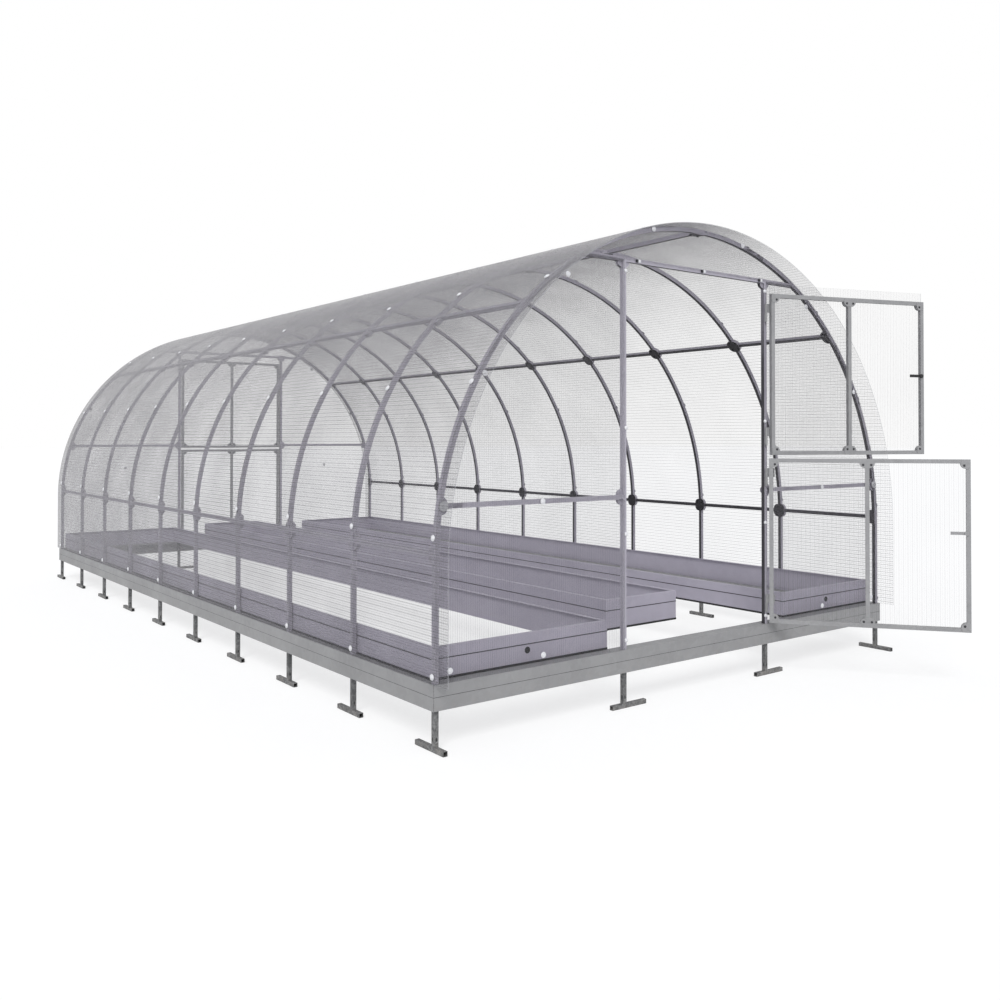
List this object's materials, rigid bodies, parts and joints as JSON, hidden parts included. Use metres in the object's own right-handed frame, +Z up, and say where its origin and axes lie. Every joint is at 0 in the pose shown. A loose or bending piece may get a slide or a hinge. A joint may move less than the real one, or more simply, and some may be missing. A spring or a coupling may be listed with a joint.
{
  "type": "polycarbonate greenhouse",
  "caption": "Arched tunnel greenhouse with a square-tube frame, clear twin-wall sheet cover, a two-leaf door standing open, T feet and low steel bed edging inside.",
  "frame": {"origin": "on the ground plane, under the middle of the rectangle that the house covers with its two leaves standing open; the frame's own mid-length is 337 mm further back", "axes": "+X to the right seen from the door end, +Y from the door end to the rear, +Z up"},
  "size_m": [3, 6.9281, 2.209],
  "materials": {
    "tube_steel": "satin",
    "plate_steel": "satin",
    "base_steel": "satin",
    "bed_steel": "satin",
    "twin_wall_sheet": "gloss"
  },
  "bodies": {
    "house": {"base_left": "base_steel", "base_right": "base_steel", "base_front": "base_steel", "base_rear": "base_steel", "feet_left": "tube_steel", "feet_right": "tube_steel", "feet_ends": "tube_steel", "arch_1": "tube_steel", "arch_2": "tube_steel", "arch_3": "tube_steel", "arch_4": "tube_steel", "arch_5": "tube_steel", "arch_6": "tube_steel", "arch_7": "tube_steel", "arch_8": "tube_steel", "arch_9": "tube_steel", "arch_10": "tube_steel", "purlins_left": "tube_steel", "purlins_right": "tube_steel", "purlin_ridge": "tube_steel", "connectors_left": "plate_steel", "connectors_right": "plate_steel", "connectors_ridge": "plate_steel", "front_posts": "tube_steel", "front_rails": "tube_steel", "rear_posts": "tube_steel", "rear_rails": "tube_steel", "cover_front": "twin_wall_sheet", "cover_middle": "twin_wall_sheet", "cover_rear": "twin_wall_sheet", "front_panel_left": "twin_wall_sheet", "front_panel_right": "twin_wall_sheet", "front_panel_top": "twin_wall_sheet", "rear_panel_left": "twin_wall_sheet", "rear_panel_right": "twin_wall_sheet", "rear_panel_top": "twin_wall_sheet", "hinge_plates": "plate_steel", "rear_leaf_frames": "tube_steel", "rear_leaf_sheets": "twin_wall_sheet", "bed_left": "bed_steel", "bed_right": "bed_steel", "bed_middle": "bed_steel"},
    "lower_leaf": {"lower_leaf_frame": "tube_steel", "lower_leaf_sheet": "twin_wall_sheet", "lower_leaf_latch": "plate_steel"},
    "upper_leaf": {"upper_leaf_frame": "tube_steel", "upper_leaf_sheet": "twin_wall_sheet", "upper_leaf_latch": "plate_steel"}
  },
  "joints": [
    {"name": "lower_leaf_hinge", "type": "hinge", "parent": "house", "child": "lower_leaf", "pos_m": [0.487, -2.672, 0.686], "axis": [0, 0, 1], "range_deg": [-125.6, 44.4]},
    {"name": "upper_leaf_hinge", "type": "hinge", "parent": "house", "child": "upper_leaf", "pos_m": [0.487, -2.672, 1.528], "axis": [0, 0, 1], "range_deg": [-160.5, 0]}
  ]
}
